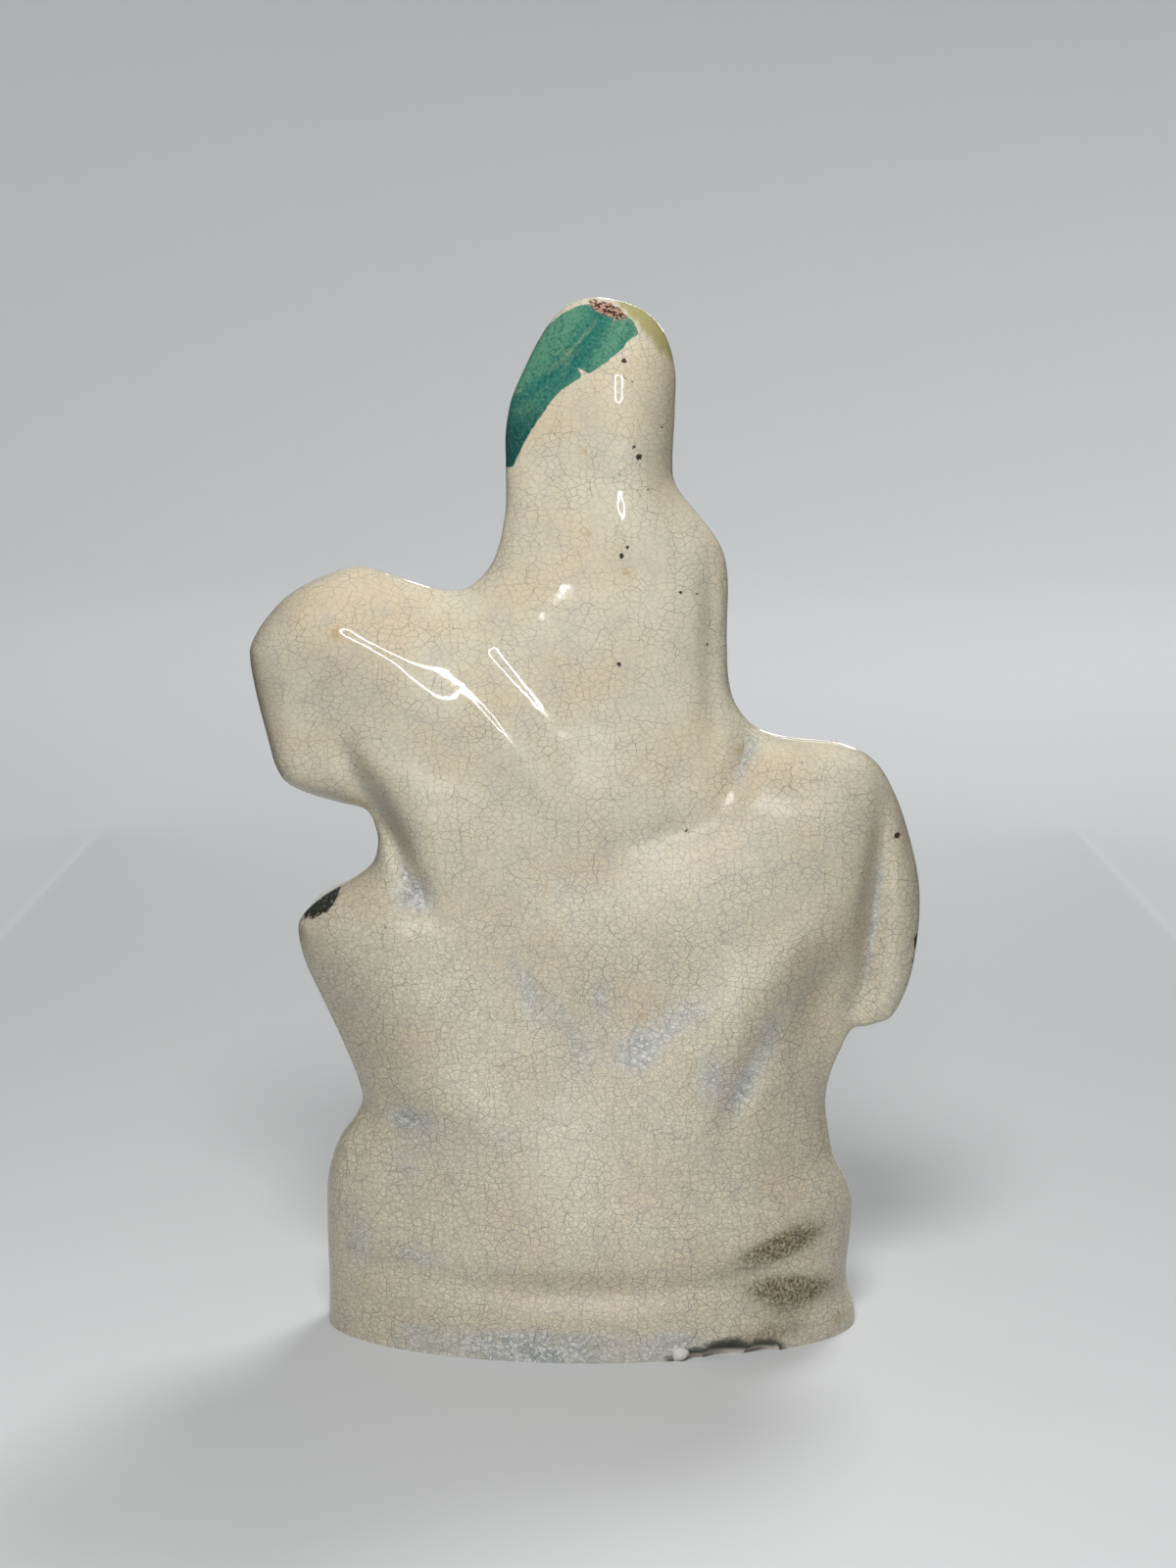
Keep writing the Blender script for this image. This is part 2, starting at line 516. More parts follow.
def mound(x, y, z):
    solid = None
    for share in np.linspace(0.0, 1.0, 9):
        angle = math.pi * (0.05 + 0.90 * share)
        swell = math.sin(7.0 * angle) + 0.6 * math.sin(11.0 * angle + 1.0)
        centre = (mould["baseCentreX"] + 35 * math.cos(angle), -14.0 * math.sin(angle), 25.5 + 1.8 * swell)
        lump = ellipsoid(x, y, z, centre, (9.5, 6.0, 7.0 + swell), 20 * swell)
        solid = lump if solid is None else join(solid, lump, 3.5)
    return solid


def tufts(x, y, z):
    # small blades of grass pressed over the mound
    solid = None
    for n in range(15):
        angle = math.pi * (0.07 + 0.86 * n / 14)
        height = 24.0 + 3.2 * math.sin(5.0 * n + 1.0)
        root = (mould["baseCentreX"] + 37.0 * math.cos(angle), -5.0 - 13.6 * math.sin(angle), height)
        for lean in (-0.45, 0.0, 0.45):
            tip = (root[0] + 5.5 * lean, root[1] + 1.2, root[2] + 5.0 - abs(lean) * 2.0)
            blade = limb(x, y, z, [root + (1.2,), tip + (0.6,)])
            solid = blade if solid is None else np.minimum(solid, blade)
    return solid


# Every moulded form of the front with the fillet that joins it to the ones before it
frontForms = {
    "ponyBody": (ponyBody, 0.0), "ponyEye": (ponyEye, 0.3), "hooves": (hooves, 0.5), "mane": (mane, 1.2),
    "tail": (tail, 1.2), "saddleCloth": (saddleCloth, 0.6), "harness": (harness, 0.3),
    "breeches": (breeches, 1.8),
    "coat": (coat, 1.8), "boot": (boot, 1.0), "belt": (belt, 0.5), "hands": (hands, 0.8),
    "sleeves": (sleeves, 1.4),
    "cuffs": (cuffs, 0.5), "lapels": (lapels, 0.5), "buttons": (buttons, 0.3), "face": (face, 1.5),
    "stock": (stock, 0.6), "curls": (curls, 0.6), "hat": (hat, 0.8), "plume": (plume, 0.4),
    "stump": (stump, 2.0),
    "mound": (mound, 3.0), "tufts": (tufts, 0.6),
}


def figure(x, y, z):
    # signed field of the whole figure, negative inside
    trueDepth, easedDepth = outlineDepth(x, z)
    front = None
    for form, fillet in frontForms.values():
        front = form(x, y, z) if front is None else join(front, form(x, y, z), fillet)
    oval = (np.hypot(ovalShare(x, z), y / mould["baseHalfDepth"]) - 1.0) * mould["baseHalfDepth"]
    low = 1.0 - smoothStep(30.0, 40.0, z)
    front = front + (np.maximum(front, oval) - front) * low
    front = cut(front, y - 1.0, 2.0)
    front = cut(front, -trueDepth, 2.4)
    solid = cut(join(blank(x, y, z, easedDepth), front, 2.0), -trueDepth, 0.5)
    for cx, cy, cz, *radii in chips:
        bite = np.sqrt(((x - cx) / radii[0]) ** 2 + ((y - cy) / radii[1]) ** 2 + ((z - cz) / radii[2]) ** 2)
        solid = np.maximum(solid, (1.0 - bite) * min(radii))
    (cx, cy, cz), radii = footBlob
    blob = np.sqrt(((x - cx) / radii[0]) ** 2 + ((y - cy) / radii[1]) ** 2 + ((z - cz) / radii[2]) ** 2)
    return join(solid, (blob - 1.0) * min(radii), 0.4)


def slopeOf(points, value=None):
    nudge = 0.04
    x, y, z = points.T
    value = figure(x, y, z) if value is None else value
    ahead = [figure(x + nudge, y, z), figure(x, y + nudge, z), figure(x, y, z + nudge)]
    return value, np.stack([(field - value) / nudge for field in ahead], 1)


def pullToSurface(points, passes):
    for _ in range(passes):
        value, slope = slopeOf(points)
        step = slope * (value / np.maximum((slope ** 2).sum(1), 0.05))[:, None]
        reach = np.linalg.norm(step, axis=1, keepdims=True)
        points = points - step * np.minimum(1.0, 0.4 * mould["gridStep"] / np.maximum(reach, 1e-9))
    return points


def growField():
    # a coarse field everywhere, and the exact one only in a band around the surface
    step = mould["gridStep"]
    starts = (-mould["gridHalfWidth"], mould["gridFront"], mould["gridBelow"])
    stops = (mould["gridHalfWidth"], mould["gridBack"], mould["height"] + 3.0)
    counts = [int((stop - start) / step) // 2 * 2 + 1 for start, stop in zip(starts, stops)]
    axes = [start + step * np.arange(count) for start, count in zip(starts, counts)]
    coarse = figure(axes[0][::2, None, None], axes[1][None, ::2, None], axes[2][None, None, ::2])
    field = np.zeros(counts)
    field[::2, ::2, ::2] = coarse
    field[1::2, ::2, ::2] = 0.5 * (coarse[1:] + coarse[:-1])
    field[:, 1::2, ::2] = 0.5 * (field[:, :-1:2, ::2] + field[:, 2::2, ::2])
    field[:, :, 1::2] = 0.5 * (field[:, :, :-1:2] + field[:, :, 2::2])
    near = np.nonzero(np.abs(field) < 2.6 * step)
    field[near] = figure(axes[0][near[0]], axes[1][near[1]], axes[2][near[2]])
    field[:, :, 0] = np.maximum(field[:, :, 0], step)
    return field, np.array(starts)


def castFigure():
    step = mould["gridStep"]
    field, start = growField()
    grid = openvdb.FloatGrid(3.0 * step)
    grid.copyFromArray(np.clip(field, -3.0 * step, 3.0 * step).astype(np.float32))
    points, quads = grid.convertToQuads(0.0)
    points = pullToSurface(points * step + start, 3)
    mesh = bpy.data.meshes.new("figure_glazed")
    mesh.from_pydata((points * mm).tolist(), [], quads.tolist())

    # the underside is cut flat at Z = 0 and closed
    work = bmesh.new()
    work.from_mesh(mesh)
    everything = work.verts[:] + work.edges[:] + work.faces[:]
    bmesh.ops.bisect_plane(work, geom=everything, plane_co=(0, 0, 0), plane_no=(0, 0, 1), clear_inner=True)
    bmesh.ops.holes_fill(work, edges=[e for e in work.edges if e.is_boundary], sides=0)
    bmesh.ops.recalc_face_normals(work, faces=work.faces[:])
    work.to_mesh(mesh)
    work.free()
    return mesh


def readPoints(mesh):
    points = np.empty(len(mesh.vertices) * 3)
    mesh.vertices.foreach_get("co", points)
    return points.reshape(-1, 3) / mm


def smoothShading(mesh, points):
    # exact normals from the field, so that the gloss doesn't show the facets
    _, slope = slopeOf(points)
    slope /= np.maximum(np.linalg.norm(slope, axis=1, keepdims=True), 1e-9)
    corners = np.empty(len(mesh.loops), dtype=np.int32)
    mesh.loops.foreach_get("vertex_index", corners)
    normals = slope[corners]
    for polygon in mesh.polygons:
        if polygon.normal.z < -0.999 and polygon.center.z < 0.01 * mm:
            normals[polygon.loop_start:polygon.loop_start + polygon.loop_total] = (0, 0, -1)
    mesh.normals_split_custom_set(normals.tolist())
    return slope


def fitBox(mesh, box):
    # bring the outer sizes to the solid's own, which the grid misses by less than 0.1 mm
    points = readPoints(mesh) * mm
    low, high = points.min(0), points.max(0)
    missed = max(abs(low - box[0]).max(), abs(high - box[1]).max()) / mm
    print(f"the grid missed the solid's box by {missed:.3f} mm before the fit")
    points = box[0] + (points - low) * (box[1] - box[0]) / (high - low)
    mesh.vertices.foreach_set("co", points.ravel())
    mesh.update()


mesh = castFigure()
fitBox(mesh, np.array(cadBox))
points = readPoints(mesh)
normals = smoothShading(mesh, points)
print("figure cast:", len(points), "points,", sum(len(p.vertices) - 2 for p in mesh.polygons), "triangles")

piece = bpy.data.objects.new("figure_glazed", mesh)
bpy.context.scene.collection.objects.link(piece)

# Enamels by the form they are on: colour, colour of the thin strokes, edge wobble in mm, strength
enamels = {
    "mound": ("#5d7a4c", "#a9a55c", 1.2, 0.7),
    "tufts": ("#3f6b45", "#7d8a4a", 0.4, 0.9),
    "stump": ("#8a6a44", "#b99a66", 0.8, 0.75),
    "saddleCloth": ("#b98a2c", "#d3b061", 0.3, 0.95),
    "boot": ("#2a2522", "#4a4038", 0.15, 1.0),
    "belt": ("#2f7a6b", "#5a9a7c", 0.2, 0.95),
    "cuffs": ("#2f7a6b", "#5a9a7c", 0.2, 0.95),
    "lapels": ("#2f7a6b", "#5a9a7c", 0.2, 0.95),
    "buttons": ("#b98a2c", "#d3b061", 0.1, 0.9),
    "hands": ("#e6b899", "#eccbb2", 0.1, 0.8),
    "face": ("#e9bd9f", "#efd0b8", 0.1, 0.75),
    "curls": ("#4a3526", "#75583b", 0.2, 0.95),
    "hat": ("#b99637", "#d8c37a", 0.25, 0.95),
    "plume": ("#1f6a60", "#5a9a7c", 0.25, 1.0),
    "mane": ("#3d3129", "#6e5a48", 0.2, 0.95),
    "tail": ("#3d3129", "#6e5a48", 0.25, 0.95),
    "harness": ("#8a4a2a", "#b06a3c", 0.1, 0.95),
    "hooves": ("#2b2724", "#4a423b", 0.3, 0.95),
    "ponyEye": ("#1d1917", "#2b2522", 0.1, 1.0),
}

# Painted lines of the front, which follow no moulded form: colour, strength, softness, and
# ellipses as X, Z, half-width, half-height
brushMarks = {
    "cheeks": ("#dc8f78", 0.50, 0.9, [(-5.7, 147.4, 1.7, 1.5), (3.3, 147.4, 1.7, 1.5)]),
    "lips": ("#b24a3c", 0.85, 0.25, [(-1.2, 146.3, 1.9, 0.55), (-1.2, 145.6, 1.3, 0.5)]),
    "eye whites": ("#f4ece0", 0.9, 0.2, [(-4.3, 150.8, 1.45, 0.7), (1.9, 150.8, 1.45, 0.7)]),
    "irises": ("#33261f", 1.0, 0.15, [(-4.2, 150.85, 0.62, 0.66), (1.8, 150.85, 0.62, 0.66)]),
    "lids": ("#5a3d2c", 0.9, 0.15, [(-4.3, 151.55, 1.5, 0.2), (1.9, 151.55, 1.5, 0.2)]),
    "brows": ("#5a3d2c", 0.9, 0.2, [(-4.5, 152.7, 1.9, 0.34), (2.1, 152.7, 1.9, 0.34)]),
    "far hooves": ("#2b2724", 0.95, 0.3, [(22.3, 33.9, 3.6, 1.9), (-18.4, 33.5, 3.8, 1.9)]),
    "ochre line": ("#b08a35", 0.85, 0.2, [(0.0, 8.6, 70.0, 0.55)]),
}

# Enamel patch that wraps over the hat on to the back: its edge as (X, Z)
hatPatch = [(-7.0, 166.4), (-7.9, 164.6), (-7.6, 163.8), (-6.5, 163.5), (-5.7, 162.2), (-2.8, 159.8),
            (-0.1, 158.0), (1.7, 159.3), (1.0, 157.5), (4.1, 155.6), (6.0, 153.5), (7.6, 151.2), (9.4, 148.5),
            (10.8, 145.9), (12.0, 143.2), (16.0, 142.8), (16.0, 156.0), (10.0, 162.5), (6.0, 165.9),
            (4.1, 167.4), (1.5, 168.7), (-0.9, 169.0), (-3.9, 168.5)]

# Streaky ochre along the crown's other edge
hatOchre = [(-3.0, 171.0), (-4.6, 168.9), (-6.6, 166.6), (-9.2, 164.3), (-11.0, 162.2), (-12.6, 160.2),
            (-16.0, 160.5), (-12.0, 170.0)]

# Bluish pools of thick glaze: X, Z, half-width, half-height, lean in degrees, strength
glazePools = {
    "crease, chest": (28.4, 75.0, 3.4, 2.6, 20, 0.9),
    "muzzle": (43.5, 90.5, 4.5, 1.8, -10, 0.5),
    "small of the back": (-26.4, 98.0, 1.8, 4.5, 26, 0.5),
    "stifle": (-7.6, 49.6, 2.8, 2.6, 10, 0.85),
    "stifle, run": (-14.3, 54.6, 2.0, 6.5, 55, 0.75),
    "belly, upper": (4.0, 76.2, 2.0, 2.4, 0, 0.55),
    "belly, side": (11.6, 76.0, 1.6, 2.0, 0, 0.45),
    "belly fold": (10.4, 60.0, 1.6, 6.0, -18, 0.7),
    "belly middle": (4.6, 56.0, 1.7, 4.2, -30, 0.65),
    "belly inner": (-1.9, 58.8, 1.6, 3.4, 0, 0.7),
    "leg": (1.2, 48.0, 2.4, 4.4, 24, 0.55),
    "leg, low": (6.0, 38.6, 2.2, 2.6, 20, 0.4),
    "flank": (-9.8, 77.5, 2.0, 2.0, 0, 0.35),
    "gaskin": (-25.6, 43.6, 1.8, 5.5, 24, 0.6),
    "gaskin, inner": (-20.0, 46.5, 2.4, 3.4, 0, 0.5),
    "hock": (-30.0, 51.5, 1.4, 4.0, 10, 0.5),
    "tail groove": (-47.2, 69.0, 1.0, 7.0, 2, 0.3),
    "cannon": (28.8, 38.2, 3.6, 1.8, 0, 0.6),
    "cannon, inner": (13.5, 36.4, 2.0, 2.0, 0, 0.35),
    "mound": (31.0, 30.0, 3.0, 5.0, 0, 0.35),
    "gaskin, wide": (-21.0, 44.0, 4.0, 4.5, 0, 0.3),
    "flank crease": (-4.0, 84.0, 2.0, 2.0, 0, 0.3),
    "mound, milky": (22.5, 32.5, 9.0, 5.0, 0, 0.4),
    "groove": (27.8, 16.0, 4.4, 1.9, 4, 0.7),
    "groove, middle": (12.6, 15.2, 3.2, 1.4, 0, 0.45),
    "groove, end": (38.0, 17.0, 2.0, 5.0, 0, 0.6),
}

# Dark enamel that strayed over the seam: X, Z, radius
seamSpots = {"muzzle": (53.2, 98.0, 1.5), "tail, middle": (-54.6, 65.4, 1.5),
             "tail, low": (-54.0, 62.2, 0.9)}

# Loose dirt near the foot: X, Z, half-width, half-height, lean in degrees, strength
dirtMarks = {
    "over the groove": (-31.0, 16.8, 5.2, 1.5, -12, 1.45),
    "over the groove, faint": (-34.5, 19.8, 3.6, 2.2, -10, 0.4),
    "groove": (-20.0, 13.2, 8.0, 0.8, -2, 0.22),
    "under the groove": (-33.0, 9.8, 5.8, 1.6, 9, 1.35),
    "under the groove, low": (-32.5, 6.4, 4.2, 2.4, 0, 0.6),
    "by the chip": (-29.5, 2.8, 4.6, 1.1, 0, 0.65),
}


def signedInside(points2d, corners):
    # distance to a closed polygon, negative inside
    corners = np.array(corners, dtype=float)
    nearest = np.full(len(points2d), np.inf)
    inside = np.zeros(len(points2d), dtype=bool)
    for (ax, az), (bx, bz) in zip(corners, np.roll(corners, -1, 0)):
        ex, ez = bx - ax, bz - az
        along = np.clip(((points2d[:, 0] - ax) * ex + (points2d[:, 1] - az) * ez) / (ex * ex + ez * ez),
                        0.0, 1.0)
        nearest = np.minimum(nearest, np.hypot(points2d[:, 0] - ax - along * ex,
                                               points2d[:, 1] - az - along * ez))
        if ez:
            inside ^= ((az > points2d[:, 1]) != (bz > points2d[:, 1])) & (
                points2d[:, 0] < ax + (points2d[:, 1] - az) * ex / ez)
    return np.where(inside, -nearest, nearest)


def addLayer(name, values):
    layer = mesh.attributes.new(name, "FLOAT", "POINT")
    layer.data.foreach_set("value", np.ascontiguousarray(values, dtype=np.float32))


# Where each thing lies on the surface, as numbers at the points that the glaze reads
x, y, z = points.T
onBack = smoothStep(0.5, 3.0, y)
plan = points[:, [0, 2]]

# paint follows the moulded forms and stops short of the seam
seamPaint = y + 2.0 - 1.2 * np.sin(z / 3.1) * np.sin(z / 7.7 + 1.0)
for name, (form, _) in frontForms.items():
    if name in enamels:
        addLayer(name, np.minimum(np.maximum(form(x, y, z), seamPaint), 9.0))
addLayer("hatPatch", np.where(y > -1.0, signedInside(plan, hatPatch), 9.0))
addLayer("hatOchre", np.where(y > -1.0, signedInside(plan, hatOchre), 9.0))
addLayer("kneePatch", ellipsoid(x, y * 0.45, z, (44.6, 0.0, 72.6), (4.8, 4.0, 2.4), -30) + 0.3)
for name, (_, _, _, ellipses) in brushMarks.items():
    marks = [(np.hypot((x - cx) / rx, (z - cz) / rz) - 1.0) * min(rx, rz) for cx, cz, rx, rz in ellipses]
    addLayer(name, np.where(y < -4.0, np.min(marks, axis=0), 9.0))
addLayer("hatFlakes", np.where(y > -1.0, np.hypot((x + 2.9) * 0.94 + (z - 168.0) * 0.34,
                                                  ((z - 168.0) * 0.94 - (x + 2.9) * 0.34) * 2.8) - 3.0,
                                                  9.0))
addLayer("seamSpots", np.min([np.sqrt((x - cx) ** 2 + (0.9 * (y - 1.0)) ** 2 + (z - cz) ** 2) - radius
                              for cx, cz, radius in seamSpots.values()], axis=0))

pooled = onBack * sum(softForm(x, z, form) for form in glazePools.values())
footPool = onBack * smoothStep(7.5, 3.0, z) * smoothStep(-24.0, -14.0, x)
footPool = footPool * smoothStep(36.0, 27.0, x) * (0.8 + 0.2 * np.sin(x / 5.0))
addLayer("pooled", np.clip(pooled + 1.1 * footPool, 0.0, 1.2))
addLayer("dirt", onBack * sum(softForm(x, z, form) for form in dirtMarks.values()))
addLayer("chipped", np.where(z < 4.0, np.min([
    (np.sqrt(((x - cx) / rx) ** 2 + ((y - cy) / ry) ** 2 + ((z - cz) / rz) ** 2) - 1.0) * min(rx, ry, rz)
    for cx, cy, cz, rx, ry, rz in chips], axis=0), 9.0))
addLayer("footBlob", np.linalg.norm(points - np.array(footBlob[0]), axis=1) - 1.15)


def creases(rounds):
    # how far the surface lies below its smoothed self, in mm
    pairs = np.empty(len(mesh.edges) * 2, dtype=np.int32)
    mesh.edges.foreach_get("vertices", pairs)
    pairs = pairs.reshape(-1, 2)
    count = np.bincount(pairs.ravel(), minlength=len(points))[:, None]
    soft = points.copy()
    for _ in range(rounds):
        total = np.zeros_like(soft)
        np.add.at(total, pairs[:, 0], soft[pairs[:, 1]])
        np.add.at(total, pairs[:, 1], soft[pairs[:, 0]])
        soft = 0.5 * soft + 0.5 * total / np.maximum(count, 1)
    return ((soft - points) * normals).sum(1)


addLayer("creased", np.clip(creases(14), -1.0, 1.0))

# flat charts for the fine cracks: each face takes the plane it faces most
faceNormals = np.empty(len(mesh.polygons) * 3)
mesh.polygons.foreach_get("normal", faceNormals)
faceNormals = np.abs(faceNormals.reshape(-1, 3))
faceCentres = np.empty(len(mesh.polygons) * 3)
mesh.polygons.foreach_get("center", faceCentres)
totals = np.empty(len(mesh.polygons), dtype=np.int32)
mesh.polygons.foreach_get("loop_total", totals)
corners = np.empty(len(mesh.loops), dtype=np.int32)
mesh.loops.foreach_get("vertex_index", corners)
side = np.repeat(np.argmax(faceNormals, axis=1), totals)
back = np.repeat(faceCentres.reshape(-1, 3)[:, 1] > 0, totals)
at = points[corners]
chartShift = {"ends": 130.0, "front": 260.0, "top": 230.0}    # mm, so that no two charts share their cracks
u = np.where(side == 0, at[:, 1] + chartShift["ends"], at[:, 0] + np.where(back, 0.0, chartShift["front"]))
v = np.where(side == 2, at[:, 1] + chartShift["top"], at[:, 2])
crackMap = mesh.uv_layers.new(name="crackMap")
crackMap.data.foreach_set("uv", (np.stack([u, v], 1) / 100.0).astype(np.float32).ravel())
print("surface measured:", len(mesh.attributes), "layers")


def srgb(hexValue):
    # sRGB hex to the linear colour that the shader works in
    parts = [int(hexValue[i:i + 2], 16) / 255.0 for i in (1, 3, 5)]
    return tuple(c / 12.92 if c <= 0.04045 else ((c + 0.055) / 1.055) ** 2.4 for c in parts) + (1.0,)


# Short names for the nodes that come again and again: kind, sockets in order, output, settings
shortNames = {
    "mix": ("Mix", (0, 6, 7), 2, {"data_type": "RGBA"}),
    "ease": ("MapRange", (0, 1, 2, 3, 4), 0, {"interpolation_type": "SMOOTHSTEP"}),
    "noise": ("TexNoise", ("Vector", "Scale", "Detail", "Roughness"), "Fac", {}),
    "layer": ("Attribute", (), "Fac", {}),
}
for operation in ("ADD", "SUBTRACT", "MULTIPLY", "MAXIMUM", "MINIMUM"):
    shortNames[operation.lower()] = ("Math", (0, 1), 0, {"operation": operation})


def addNode(tree, kind, *values, **settings):
    # a short name takes its values in order and gives its output; another kind takes one
    # dictionary of sockets and gives the node
    kind, sockets, output, usual = shortNames.get(kind, (kind, (), None, {}))
    node = tree.nodes.new("ShaderNode" + kind)
    for name, value in {**usual, **settings}.items():
        setattr(node, name, value)
    inputs = dict(zip(sockets, values)) if sockets else dict(*values)
    for socket, value in inputs.items():
        if isinstance(value, bpy.types.NodeSocket):
            tree.links.new(value, node.inputs[socket])
        else:
            node.inputs[socket].default_value = value
    return node if output is None else node.outputs[output]


# Lead-glazed earthenware, press-moulded, dipped in glaze and painted over with enamels.
# What gives it to the eye: a warm cream body, a fine net of cracks in the glaze, bluish-white
# pools in the hollows and crisp thin highlights.
glaze = {
    "cream": "#ded6bf",
    "warmCream": "#dbccb0",
    "greyCream": "#c8c2b4",
    "pool": "#a9b0b1",
    "crack": "#7f796d",
    "poolCrack": "#59636c",
    "roughness": 0.055,
    "crazedRoughness": 0.42,
    "sparkle": 0.6,
    "grain": 0.26,
    "ior": 1.52,
    "longCell": 3.4,            # mm, the few cracks that run on furthest
    "crackCell": 1.12,          # mm across, set by eye; the photo's look 1.2 to 1.5 at this size
    "fineCell": 0.6,            # mm, the second finer net low down
    "crackWidth": 0.115,        # mm, drawn wider than a real hairline so that it shows
}

# Pin holes and iron specks that show in the glaze: X, Z, radius
specks = {
    "nape, large": (-8.0, 145.1, 0.57), "nape": (-7.2, 146.6, 0.3), "shoulder": (-6.2, 130.9, 0.35),
    "shoulder, low": (-5.4, 129.5, 0.49), "back": (-4.9, 112.3, 0.46), "arm": (-14.7, 123.7, 0.32),
    "arm, edge": (-17.3, 123.3, 0.32), "elbow": (-19.1, 114.9, 0.27), "crown": (-5.7, 160.1, 0.46),
    "crown, low": (-6.9, 156.8, 0.24), "tail": (-50.3, 83.7, 0.57), "rump": (-15.8, 85.5, 0.22),
    "collar": (-9.5, 139.9, 0.24), "collar, middle": (-0.3, 139.9, 0.19), "hat": (-11.7, 149.6, 0.22),
}
stains = {"nape": (0.6, 145.9, 0.7), "shoulder": (-6.2, 127.0, 1.0), "back": (0.0, 132.9, 0.8),
          "stifle": (-8.8, 55.4, 0.8), "tail": (-50.3, 83.7, 0.9), "foot": (-41.5, 2.6, 1.2),
          "poll": (39.8, 117.4, 1.3), "hip": (-24.5, 98.0, 0.9)}


def earthenwareGlaze():
    material = bpy.data.materials.new("lead_glazed_earthenware")
    material.use_nodes = True
    tree = material.node_tree
    tree.nodes.clear()
    place = addNode(tree, "TexCoord").outputs["Object"]
    chart = addNode(tree, "UVMap", uv_map="crackMap").outputs["UV"]

    # cream body with slow warm and grey clouds
    slow = addNode(tree, "noise", place, perMm / 14.0, 3.0)
    medium = addNode(tree, "noise", place, perMm / 4.5, 3.0, 0.6)
    fine = addNode(tree, "noise", place, perMm / 0.55, 2.0, 0.6)
    colour = addNode(tree, "mix", addNode(tree, "ease", slow, 0.36, 0.70), srgb(glaze["cream"]),
                     srgb(glaze["warmCream"]))
    colour = addNode(tree, "mix", addNode(tree, "ease", medium, 0.42, 0.80, 0.0, 0.6), colour,
                     srgb(glaze["greyCream"]))

    # the fine grain of the clouded glaze
    grain = addNode(tree, "noise", place, perMm / 0.6, 3.0, 0.75)
    colour = addNode(tree, "mix", addNode(tree, "ease", grain, 0.50, 0.72, 0.0, glaze["grain"]), colour,
                     srgb("#958e7e"))
    colour = addNode(tree, "mix", addNode(tree, "ease", grain, 0.44, 0.26, 0.0, glaze["grain"]), colour,
                     srgb("#f7f2e6"))

    # bluish pools where the glaze is thick
    height = addNode(tree, "SeparateXYZ", {0: place}).outputs
    behind = addNode(tree, "ease", height[1], 0.0, 0.002)
    backShare = addNode(tree, "ease", height[1], -0.012, 0.012)
    creased = addNode(tree, "layer", attribute_name="creased")
    pool = addNode(tree, "add", addNode(tree, "layer", attribute_name="pooled"),
                   addNode(tree, "ease", creased, 0.03, 0.30, 0.0, 0.45))
    patchy = addNode(tree, "ease", addNode(tree, "noise", place, perMm / 1.6, 3.0, 0.7), 0.35, 0.60)
    pooled = addNode(tree, "multiply", addNode(tree, "ease", pool, 0.15, 1.1),
                     addNode(tree, "add", addNode(tree, "multiply", patchy, 0.4), 0.6))
    colour = addNode(tree, "mix", addNode(tree, "multiply", pooled, 0.85), colour, srgb(glaze["pool"]))

    shaded = addNode(tree, "ease", creased, 0.08, 0.55, 0.0, 0.45)
    colour = addNode(tree, "mix", shaded, colour, srgb("#8f8a80"))

    # net of cracks, its cells wider than high, bent by a slow noise
    drift = addNode(tree, "TexNoise", {"Vector": place, "Scale": perMm / 3.2}).outputs["Color"]
    flow = addNode(tree, "VectorMath", {0: drift, 1: (0.5, 0.5, 0.5)}, operation="SUBTRACT").outputs[0]
    bent = addNode(tree, "VectorMath", {0: flow, 1: (0.016, 0.016, 0.0), 2: chart},
                   operation="MULTIPLY_ADD").outputs[0]
    nets = []
    for cell, width in ((glaze["longCell"], 1.0), (glaze["crackCell"], 1.0), (glaze["fineCell"], 0.8)):
        stretched = addNode(tree, "VectorMath", {0: bent, 1: (82.0 / cell, 112.0 / cell, 0.0)},
                            operation="MULTIPLY").outputs[0]
        gap = addNode(tree, "TexVoronoi", {"Vector": stretched, "Scale": 1.0, "Randomness": 0.95},
                      feature="DISTANCE_TO_EDGE", voronoi_dimensions="2D").outputs["Distance"]
        nets.append(addNode(tree, "ease", gap, 0.0, 0.55 * width * glaze["crackWidth"] / cell, 1.0, 0.0))
    cellTint = addNode(tree, "TexVoronoi", {"Vector": stretched, "Scale": 1.0, "Randomness": 0.95},
                       voronoi_dimensions="2D").outputs["Color"]
    cellChance = addNode(tree, "SeparateColor", {0: cellTint}).outputs
    # the fine net shows low down and in the pools; each of its cells has its own tone, and in the
    # pools some of them catch the light
    lowDown = addNode(tree, "ease", height[2], 0.125, 0.045, 0.0, 1.0)
    fineShare = addNode(tree, "maximum", addNode(tree, "multiply", lowDown, 0.75), pooled)
    cellTone = addNode(tree, "multiply", addNode(tree, "ease", cellChance[1], 0.2, 1.0, 0.0, 0.4),
                       fineShare)
    colour = addNode(tree, "mix", addNode(tree, "multiply", cellTone, backShare), colour, srgb("#a8a294"))
    sparkle = addNode(tree, "multiply", addNode(tree, "ease", cellChance[0], 0.35, 0.75, 0.0,
                                                glaze["sparkle"]), pooled)
    colour = addNode(tree, "mix", addNode(tree, "multiply", sparkle, behind), colour, srgb("#f6f4ee"))
    crackTint = addNode(tree, "mix", pooled, srgb(glaze["crack"]), srgb(glaze["poolCrack"]))
    clouds = addNode(tree, "ease", addNode(tree, "noise", place, perMm / 5.0, 3.0), 0.32, 0.62, 0.30, 0.72)
    faint = addNode(tree, "add", clouds, addNode(tree, "multiply", lowDown, 0.25))
    for net, share in ((nets[2], addNode(tree, "multiply", fineShare, 0.75)), (nets[1], faint),
                       (nets[0], faint)):
        colour = addNode(tree, "mix", addNode(tree, "multiply", net, share), colour, crackTint)

